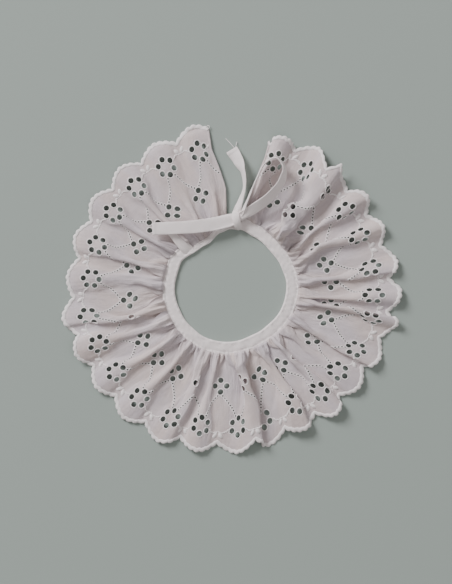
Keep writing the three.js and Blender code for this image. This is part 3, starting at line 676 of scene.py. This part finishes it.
def finish_tape(name, bm, flat, material, slot):
    """Closes a run of tape, keeps its flat map and puts it in its place as a piece."""
    bm.verts.index_update()
    layer = bm.verts.layers.float_vector.new("flat")
    for v in bm.verts:
        v[layer] = flat[v.index]
    bmesh.ops.remove_doubles(bm, verts=bm.verts[:], dist=1e-4)
    bmesh.ops.holes_fill(bm, edges=bm.edges[:], sides=0)
    bmesh.ops.recalc_face_normals(bm, faces=bm.faces[:])
    kept = np.array([v[layer][:] for v in bm.verts])
    mesh = mesh_from(bm, name)
    flat_map(mesh, kept)
    places = coordinates(mesh)
    places[:, 2] = np.maximum(places[:, 2], 0)
    put(mesh, places)
    return piece(name, mesh, material)


# x, y, z, roll and width along each run of tape
TIE_LEFT = (
    (4.2, 57.0, 5.2, 0, 8.6), (2.2, 56.8, 6.2, 0, 10.2), (-2.6, 55.5, 7.0, 0, 11.4),
    (-13, 53, 7.8, 0, 11.4), (-30, 50.5, 8.9, 0, 11), (-48, 49.3, 9.3, 0, TAPE_WIDTH),
    (-66.5, 48.6, 8.7, 0, TAPE_WIDTH),
)
TIE_UP = (
    (4.2, 58.5, 3.6, 10, 5.6), (4.9, 63.5, 5.2, 25, 6.6), (7.4, 71, 6.4, 60, 7.6), (11.2, 84, 6.6, 80, 9),
    (10.4, 96, 5.8, 72, 10), (6, 107, 3.6, 34, TAPE_WIDTH), (0.5, 116, 1.4, 0, TAPE_WIDTH),
)
LOOP = (
    (4.6, 57.2, 5.0, 0, 6.4), (8.6, 59.4, 7.8, -8, 7.6), (21.0, 66.6, 12.2, -32, 9.8),
    (33.4, 76, 14.4, -44, TAPE_WIDTH), (42.4, 88, 15, -56, TAPE_WIDTH), (44.8, 100.5, 15, -74, TAPE_WIDTH),
    (37.5, 108.2, 15, -86, TAPE_WIDTH), (28.6, 103.5, 14.8, -90, TAPE_WIDTH),
    (20.8, 89, 14.2, -90, TAPE_WIDTH), (14.4, 74, 12.4, -84, 9), (9.2, 62.3, 7.6, -60, 5.6),
    (6.0, 58.6, 4.8, -40, 4.6),
)
KNOT_WRAP = (
    (6.3, 50.2, 0.9, 0, 4.6), (6.2, 50.4, 3.4, 0, 5.4), (5.6, 52.6, 6.6, 0, 6.4), (4.7, 56.0, 8.0, 0, 7.0),
    (4.1, 59.6, 7.5, 0, 6.6), (3.8, 61.9, 5.2, 0, 5.8), (3.8, 62.3, 2.8, 0, 5.2),
)
BAND_FLAP = (
    (-53, 48.0, 5.6, 0, 6.2), (-47.6, 42.2, 5.5, 0, 7.0), (-43.6, 37.9, 4.9, 0, 8.2),
    (-40, 34.2, 3.9, 0, 9.2), (-36.8, 31.0, 2.6, 0, 9.6), (-33.9, 28.2, 0.8, 0, 8.4),
)


def on_band(arc, across, up):
    """The folded band eased to the opening's own shape, with its soft dents and the pull of the gathers."""
    angle = np.degrees(arc / ARC_RADIUS)
    share = mix(TURNED_SHARE, 1, smooth((angle - TURNED_UNTIL) / 8))
    top = smooth((up - 0.9) / 1.0)
    outer = np.clip(across / (BAND_WIDTH / 2), 0, 1)
    soft = 0.17 * np.sin(arc * 0.42 + across * 0.5) + 0.09 * np.sin(arc * 1.15 - across * 0.8)
    soft = soft + 0.1 * np.sin(arc * 0.77 + across * 1.3 + 2 * np.sin(arc * 0.13))
    pulled = 0.22 * np.sin(arc * 1.96 + 2 * np.sin(arc * 0.11)) * outer
    seam = -0.62 * np.exp(-(((across - STITCH_ROW - 0.15 * np.sin(arc * 0.31)) / 0.42) ** 2))
    rolled = 0.3 * np.exp(-(((across + 4.2) / 0.8) ** 2))
    edge = 0.2 * np.sin(arc * 1.96 + 1) * outer**2
    edge = edge + 0.2 * np.sin(arc * 0.23 + np.sin(arc * 0.09)) * (1 - outer)
    radius = opening_radius(angle) + (across + BAND_WIDTH / 2) * share + edge
    lift = np.maximum(0, up * mix(0.8, 1, share) + (soft + pulled + seam + rolled) * top)
    turn = np.radians(angle)
    return np.stack([radius * np.cos(turn), radius * np.sin(turn), lift], axis=1)


def neckband_shape():
    """The folded tape band: its section spun round the neck, then eased to the opening's own shape."""
    around, steps = 46, 420
    bm = bmesh.new()
    ring = bmesh.ops.create_circle(bm, segments=around, radius=1)["verts"]
    for v in ring:
        across, up = round_cornered(math.atan2(v.co.y, v.co.x), BAND_WIDTH, BAND_THICK, *BAND_SQUARE)
        v.co = (SPUN_RADIUS + across, 0, BAND_THICK / 2 + up)
    sweep = math.radians(BAND_END - BAND_START)
    to_start = Matrix.Rotation(math.radians(BAND_START), 3, "Z")
    bmesh.ops.rotate(bm, verts=ring, cent=(0, 0, 0), matrix=to_start)
    geom = bm.verts[:] + bm.edges[:]
    bmesh.ops.spin(bm, geom=geom, cent=(0, 0, 0), axis=(0, 0, 1), angle=sweep, steps=steps, use_merge=False)
    round_neck = np.array([v.co[:] for v in bm.verts])
    angle = np.degrees(np.arctan2(round_neck[:, 1], round_neck[:, 0]))
    angle += 360 * np.ceil((BAND_START - 0.5 - angle) / 360)
    arc = np.radians(angle) * ARC_RADIUS
    across = np.hypot(round_neck[:, 0], round_neck[:, 1]) - SPUN_RADIUS
    eased = on_band(arc, across, round_neck[:, 2])
    flat = {}
    for v, a, w, place in zip(bm.verts, arc, across, eased):
        v.co = place
        flat[v.index] = (a, w, 0)
    return bm, flat


def drawn_in(start, stop, reach):
    """Creases that gather towards a knot at the start or the end of a run of tape."""
    def pucker(length, across, width):
        near = 0.0
        if start is not None:
            near += math.exp(-((max(0, length - start) / reach) ** 2))
        if stop is not None:
            near += math.exp(-((max(0, stop - length) / reach) ** 2))
        folds = 0.5 - 1.2 * abs(math.sin(across * math.pi / max(2.6, width / 2.6) + 0.6)) ** 0.7
        folds += 0.14 * math.sin(across * 4.1 + length * 0.2)
        relief = near * folds + 0.07 * math.sin(length * 0.33 + across * 0.5)
        return relief + 0.04 * math.sin(length * 0.9 - across)
    return pucker


def turned_end(full, pucker):
    """The end of a tie is turned in twice, so its last few millimetres stand a little higher."""
    def with_end(length, across, width):
        return pucker(length, across, width) + 0.32 * float(smooth((length - full + 3.1) / 0.5))
    return with_end


def wrap_pucker(length, across, width):
    """The knot's turn of tape is rolled up lengthwise, with one deep crease and some small ones."""
    crown = 1.3 * (1 - (2 * across / width) ** 2)
    crease = -0.9 * math.exp(-(((across - 2.3 + 0.16 * length) / 0.5) ** 2))
    crease -= 0.5 * math.exp(-(((across + 0.4 - 0.14 * length) / 0.4) ** 2))
    return crown + crease + 0.1 * math.sin(across * 3.3 + length * 0.5)


# -------------------- materials
FLOAT, VECTOR = "NodeSocketFloat", "NodeSocketVector"


def socketed_group(name, inputs, outputs):
    group = bpy.data.node_groups.new(name, "ShaderNodeTree")
    for label, kind, value in inputs:
        made = group.interface.new_socket(name=label, in_out="INPUT", socket_type=kind)
        if value is not None:
            made.default_value = value
    for label, kind in outputs:
        group.interface.new_socket(name=label, in_out="OUTPUT", socket_type=kind)
    return group, group.nodes.new("NodeGroupInput"), group.nodes.new("NodeGroupOutput")


def wire(tree, pairs):
    for source, target in pairs:
        tree.links.new(source, target)


def node(tree, kind, **values):
    made = tree.nodes.new(kind)
    for key, value in values.items():
        if hasattr(made, key):
            setattr(made, key, value)
        else:
            made.inputs[key].default_value = value
    return made


def math_node(tree, operation, a, b=None):
    made = tree.nodes.new("ShaderNodeMath")
    made.operation = operation
    for socket, value in ((made.inputs[0], a), (made.inputs[1], b)):
        if value is None:
            continue
        if isinstance(value, (int, float)):
            socket.default_value = value
        else:
            tree.links.new(value, socket)
    return made.outputs[0]


def stretched_noise(tree, place, stretch, **values):
    """Noise that is drawn out along a map by a stretch for each of its directions."""
    drawn = node(tree, "ShaderNodeVectorMath", operation="MULTIPLY")
    drawn.inputs[1].default_value = stretch
    noise = node(tree, "ShaderNodeTexNoise", **values)
    wire(tree, [(place, drawn.inputs[0]), (drawn.outputs[0], noise.inputs["Vector"])])
    return noise.outputs["Fac"]


def two_tones(tree, share, first, second):
    """A colour between two others."""
    tones = node(tree, "ShaderNodeMix", data_type="RGBA")
    tones.inputs[6].default_value = (*first, 1)
    tones.inputs[7].default_value = (*second, 1)
    tree.links.new(share, tones.inputs[0])
    return tones.outputs[2]


def new_skin(name, rough, shine):
    """A new material and its surface, with the surface's roughness and shine."""
    material = bpy.data.materials.new(name)
    material.use_nodes = True
    skin = material.node_tree.nodes["Principled BSDF"]
    skin.inputs["Roughness"].default_value = rough
    skin.inputs["Specular IOR Level"].default_value = shine
    return material, skin


def plain_weave_group():
    """Over-and-under threads on the flat map: their height, their ribs, and the streaks of uneven yarn."""
    group, inside, outside = socketed_group(
        "plain_weave",
        [("Map", VECTOR, None), ("Threads", FLOAT, 300.0), ("Slub", FLOAT, 0.3)],
        [("Height", FLOAT), ("Ribs", FLOAT), ("Streak", FLOAT)],
    )
    split = node(group, "ShaderNodeSeparateXYZ")
    slub = node(group, "ShaderNodeTexNoise", Scale=40.0, Detail=3.0)
    wire(group, [(inside.outputs["Map"], split.inputs[0]), (inside.outputs["Map"], slub.inputs["Vector"])])
    wobble = math_node(group, "MULTIPLY", slub.outputs["Fac"], inside.outputs["Slub"])
    heights, streaks = [], []
    for axis, stretch in ((0, (150, 14, 1)), (1, (14, 150, 1))):
        count = math_node(group, "MULTIPLY", split.outputs[axis], inside.outputs["Threads"])
        turned = math_node(group, "ADD", count, wobble)
        heights.append(math_node(group, "SINE", math_node(group, "MULTIPLY", turned, math.tau)))
        streaks.append(stretched_noise(group, inside.outputs["Map"], stretch, Scale=1.0, Detail=2.0))
    crossed = math_node(group, "MULTIPLY", heights[0], heights[1])
    streak = math_node(group, "MULTIPLY", math_node(group, "ADD", streaks[0], streaks[1]), 0.5)
    wire(group, [
        (crossed, outside.inputs["Height"]),
        (heights[0], outside.inputs["Ribs"]),
        (streak, outside.inputs["Streak"]),
    ])
    return group


def creased_group():
    """Sharp small creases that run out from the map's gathered edge, with a soft crumple between them."""
    group, inside, outside = socketed_group(
        "drawn_creases",
        [("Map", VECTOR, None), ("Across", FLOAT, 24.0), ("Reach", FLOAT, 0.55)],
        [("Height", FLOAT)],
    )
    split = node(group, "ShaderNodeSeparateXYZ")
    join = node(group, "ShaderNodeCombineXYZ")
    wire(group, [(inside.outputs["Map"], split.inputs[0])])
    wire(group, [
        (math_node(group, "MULTIPLY", split.outputs[0], inside.outputs["Across"]), join.inputs[0]),
        (math_node(group, "MULTIPLY", split.outputs[1], 4.0), join.inputs[1]),
    ])
    drawn = node(group, "ShaderNodeTexNoise", Scale=1.0, Detail=2.0, Distortion=0.3)
    wire(group, [(join.outputs[0], drawn.inputs["Vector"])])
    centred = math_node(group, "MULTIPLY", math_node(group, "SUBTRACT", drawn.outputs["Fac"], 0.5), 3.4)
    ridge = math_node(group, "SUBTRACT", 1.0, math_node(group, "ABSOLUTE", centred))
    sharp = math_node(group, "POWER", math_node(group, "MAXIMUM", ridge, 0.0), 2.0)
    away = math_node(group, "DIVIDE", split.outputs[1], inside.outputs["Reach"])
    fade = math_node(group, "MAXIMUM", math_node(group, "SUBTRACT", 1.0, away), 0.22)
    soft = node(group, "ShaderNodeTexNoise", Scale=16.0, Detail=3.0, Roughness=0.6)
    wire(group, [(inside.outputs["Map"], soft.inputs["Vector"])])
    total = math_node(group, "ADD", math_node(group, "MULTIPLY", sharp, fade), soft.outputs["Fac"])
    wire(group, [(total, outside.inputs["Height"])])
    return group


PLAIN_WEAVE = plain_weave_group()
DRAWN_CREASES = creased_group()
HUE_STRETCH = (4.2, 1.6, 1)  # makes the patches of warm and cool white longer along the folds than across


def hue_patches(tree, flat, colour, warm, cool):
    """Broad soft patches of warm and cool white over a colour."""
    patch = stretched_noise(tree, flat, HUE_STRETCH, Scale=1.0, Detail=2.0, Distortion=0.4)
    share = math_node(tree, "ADD", math_node(tree, "MULTIPLY", patch, 4.0), -1.5)
    over = node(tree, "ShaderNodeMix", data_type="RGBA", blend_type="MULTIPLY")
    over.inputs[0].default_value = 1.0
    wire(tree, [(colour, over.inputs[6]), (two_tones(tree, share, warm, cool), over.inputs[7])])
    return over.outputs[2]


def crease_bump(tree, flat, across, reach, rise):
    """The small creases that run out from the gathers."""
    drawn = node(tree, "ShaderNodeGroup", node_tree=DRAWN_CREASES)
    drawn.inputs["Across"].default_value = across
    drawn.inputs["Reach"].default_value = reach
    folds = node(tree, "ShaderNodeBump", Strength=0.6, Distance=rise)
    wire(tree, [(flat, drawn.inputs["Map"]), (drawn.outputs["Height"], folds.inputs["Height"])])
    return folds.outputs["Normal"]


def cloth_material(
    name, light, shade, threads, depth, sheen, rough=0.92, relief="Height", hues=None, creases=None,
):
    """White cotton: two near whites drift over it, and its weave and small creases stand in the bump."""
    material, skin = new_skin(name, rough, 0.25)
    tree = material.node_tree
    skin.inputs["Sheen Weight"].default_value = sheen
    skin.inputs["Sheen Roughness"].default_value = 0.6
    flat = node(tree, "ShaderNodeUVMap", uv_map="cloth_mm").outputs["UV"]
    place = node(tree, "ShaderNodeTexCoord")
    weave = node(tree, "ShaderNodeGroup", node_tree=PLAIN_WEAVE)
    weave.inputs["Threads"].default_value = threads
    drift = node(tree, "ShaderNodeTexNoise", Scale=22.0, Detail=4.0, Roughness=0.6)
    bump = node(tree, "ShaderNodeBump", Strength=0.5, Distance=depth)
    streaked = math_node(tree, "ADD", drift.outputs["Fac"], weave.outputs["Streak"])
    both = math_node(tree, "MULTIPLY", streaked, 0.5)
    spread = math_node(tree, "MULTIPLY", math_node(tree, "SUBTRACT", both, 0.34), 2.9)
    colour = two_tones(tree, spread, light, shade)
    if hues:
        colour = hue_patches(tree, flat, colour, *hues)
    if creases:
        wire(tree, [(crease_bump(tree, flat, *creases), bump.inputs["Normal"])])
    wire(tree, [
        (flat, weave.inputs["Map"]),
        (place.outputs["Object"], drift.inputs["Vector"]),
        (colour, skin.inputs["Base Color"]),
        (weave.outputs[relief], bump.inputs["Height"]),
        (bump.outputs["Normal"], skin.inputs["Normal"]),
    ])
    return material


def srgb(*values):
    return tuple((v / 255 / 12.92) if v <= 10 else ((v / 255 + 0.055) / 1.055) ** 2.4 for v in values)


LAWN = cloth_material(
    "white_lawn", srgb(222, 212, 212), srgb(199, 190, 193), threads=320.0, depth=0.00006, sheen=0.2,
    hues=((1.0, 0.965, 0.92), (0.955, 0.965, 1.0)), creases=(24.0, 0.55, 0.0009),
)
THREAD = cloth_material(
    "satin_thread", srgb(252, 248, 247), srgb(242, 237, 237), threads=150.0, depth=0.0002, sheen=0.3,
    rough=0.75, relief="Ribs",
)
TAPE = cloth_material(
    "cotton_tape", srgb(254, 247, 246), srgb(243, 236, 235), threads=220.0, depth=0.00012, sheen=0.25,
)


def painted_pinhole_shade():
    """Painted shade: the dark colour of the discs that stand in for the shade seen down each pinhole."""
    material, skin = new_skin("pinhole_shadow", 1.0, 0.0)
    tree = material.node_tree
    place = node(tree, "ShaderNodeTexCoord")
    drift = node(tree, "ShaderNodeTexNoise", Scale=300.0)
    shade = two_tones(tree, drift.outputs["Fac"], srgb(34, 36, 35), srgb(62, 64, 62))
    wire(tree, [(place.outputs["Object"], drift.inputs["Vector"]), (shade, skin.inputs["Base Color"])])
    return material


PINHOLE_SHADE = painted_pinhole_shade()

# -------------------- the trim and its embroidery
def worked(name, mesh, material=THREAD):
    """A piece of the trim: made flat, then laid on the folds."""
    lay_on_trim(mesh)
    return piece(name, mesh, material)


def loose_thread(name, path, slot):
    return finish_tape(name, *tape_run([(*p, 0, 0.5) for p in path], 8, 0.45), THREAD, slot)


cloth = worked("trim_cloth", cut_trim(), LAWN)
wall = cloth.modifiers.new("lawn_thickness", "SOLIDIFY")
wall.thickness = CLOTH * MM
wall.offset = 0
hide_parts("ruffle")

rim = ring_shape(EYELET_RIM, EYELET_THREAD)
rims = worked("eyelet_rims", stamp(rim, [(s, t, chance.uniform(0, 6), 1.0, 0.08) for s, t in EYELETS]))
border = worked("scallop_border", satin_border())

dots = pinhole_lines()
# the pinholes are not cut: dark discs just over the lawn paint the shade that would show down each hole
hole = bmesh.new()
bmesh.ops.create_circle(hole, segments=8, radius=PINHOLE_RADIUS, cap_ends=True)
shade_disc_places = [(s, t, 0, 1.0, CLOTH / 2 + 0.05) for s, t, _ in dots]
pinholes = worked("pinholes", stamp(hole, shade_disc_places), PINHOLE_SHADE)

leaves, stems = leaf_pairs()
jagged = [(s, t, a + chance.choice((-0.7, 0.7)), chance.uniform(0.95, 1.2), CLOTH / 2) for s, t, a in stems]
stitches = worked("stem_stitches", stamp(stitch_shape(2.2, 1.05, 0.4), jagged))
rim_places = [(s, t, a, chance.uniform(0.94, 1.06), 0.12) for s, t, a in dots]
pin_rims = worked("pinhole_rims", stamp(ring_shape(PINHOLE_RIM, PINHOLE_THREAD, 8, 4), rim_places))
leaf_piece = worked("satin_leaves", stamp(stitch_shape(5.6, 3.3, 0.85, 10), leaves))
end_hems = [
    worked("left_end_hem", end_hem(START_S, 1), LAWN),
    worked("right_end_hem", end_hem(END_S, -1), LAWN),
]

tip_s = np.array([START_S + 0.8])
tip = on_trim(tip_s, scallop_edge(tip_s / REPEAT) - 0.6)[0]
loose_end = ((0, 0, 0.3), (1.3, 1.2, 0.9), (0.9, 2.6, 0.8), (-0.6, 2.7, 0.5), (-1.5, 1.6, 0.3))
end_thread = loose_thread("end_fray", [tuple(tip + np.array(step)) for step in loose_end], "trim")

# -------------------- the band, ties, loop and knot
band = finish_tape("band_tape", *neckband_shape(), TAPE, "tape")
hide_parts("neckband")

first_arc, last_arc = math.radians(TURNED_UNTIL + 8) * ARC_RADIUS, math.radians(BAND_END - 3) * ARC_RADIUS
seam_places = []
for arc in np.arange(first_arc, last_arc, 2.5):
    row = STITCH_ROW + chance.uniform(-0.1, 0.1)
    seam_places.append((arc, row, chance.gauss(0, 0.06), 1.0, BAND_THICK + 0.02))
topstitch = stamp(stitch_shape(1.8, 0.5, 0.2), seam_places)
flat = coordinates(topstitch)
flat_map(topstitch, flat)
put(topstitch, on_band(*flat.T))
topstitch = piece("band_topstitch", topstitch, THREAD)


def run_length(rows):
    return sum((Vector(b[:3]) - Vector(a[:3])).length for a, b in zip(rows, rows[1:]))


def tape_piece(name, rows, pucker, per_span=16, thick=TAPE_THICK):
    return finish_tape(name, *tape_run(rows, per_span, thick, pucker), TAPE, "tape")


long_tie = tape_piece("long_tie", TIE_LEFT, turned_end(run_length(TIE_LEFT), drawn_in(5, None, 13)), 24)
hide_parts("tie_left")
short_tie = tape_piece("short_tie", TIE_UP, turned_end(run_length(TIE_UP), drawn_in(4, None, 9)), 20)
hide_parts("tie_up")
loop_tape = tape_piece("loop_tape", LOOP, drawn_in(5, run_length(LOOP) - 4, 9))
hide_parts("bow_loop")
knot_tape = tape_piece("knot_tape", KNOT_WRAP, wrap_pucker, 14, 2.6)
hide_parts("knot")
band_flap = tape_piece("band_flap", BAND_FLAP, drawn_in(None, run_length(BAND_FLAP), 7), 14, 0.9)

tie_frays = [
    loose_thread(name, path, "tape") for name, path in (
        ("tie_fray_1", ((2.9, 117.4, 1.6), (0.6, 120.2, 1.4), (-2.2, 123.2, 0.8), (-4.6, 125.6, 0.3))),
        ("tie_fray_2", ((3.6, 117.9, 1.6), (4.4, 120.4, 1.3), (5.0, 122.8, 0.6))),
    )
]

# -------------------- floor, light and camera
FLOOR_TONE = srgb(158, 170, 164)
SKY_TINT, SKY_STRENGTH = (0.94, 0.87, 0.845), 0.36
HEIGHT = 1.5  # the camera over the floor, in metres
VIEW_WIDTH = 0.3842  # metres of floor that the camera takes in from side to side
VIEW_MIDDLE = (-4.3, -4.8)  # what the camera looks down on, in millimetres from the neck's middle

floor_bm = bmesh.new()
bmesh.ops.create_grid(floor_bm, x_segments=1, y_segments=1, size=9)
floor_mesh = mesh_from(floor_bm, "floor")
floor = bpy.data.objects.new("floor", floor_mesh)
bpy.context.scene.collection.objects.link(floor)
floor_paint, floor_skin = new_skin("pale_floor", 0.95, 0.1)
floor_skin.inputs["Base Color"].default_value = (*FLOOR_TONE, 1)
floor_mesh.materials.append(floor_paint)


def soft_light(name, place, width, power, tint):
    """A square lamp that faces the collar."""
    data = bpy.data.lights.new(name, "AREA")
    data.shape = "SQUARE"
    data.size = width
    data.energy = power
    data.color = tint
    lamp = bpy.data.objects.new(name, data)
    lamp.location = place
    lamp.rotation_euler = (-Vector(place)).to_track_quat("-Z", "Y").to_euler()
    bpy.context.scene.collection.objects.link(lamp)


soft_light("window", (-2.6, 2.85, 2.2), width=1.6, power=268, tint=(1.0, 0.972, 0.99))
soft_light("room", (0.9, -0.6, 1.6), width=2.0, power=6, tint=(0.95, 0.97, 1.0))
world = bpy.data.worlds.new("studio")
world.use_nodes = True
sky = world.node_tree.nodes["Background"]
sky.inputs[0].default_value = (*SKY_TINT, 1)
sky.inputs[1].default_value = SKY_STRENGTH
bpy.context.scene.world = world

view = bpy.data.cameras.new("overhead")
view.sensor_fit = "HORIZONTAL"
view.sensor_width = 36
view.lens = 36 * HEIGHT / VIEW_WIDTH
camera = bpy.data.objects.new("overhead", view)
camera.location = ((VIEW_MIDDLE[0] + SHIFT[0]) * MM, (VIEW_MIDDLE[1] + SHIFT[1]) * MM, HEIGHT)
bpy.context.scene.collection.objects.link(camera)
bpy.context.scene.camera = camera
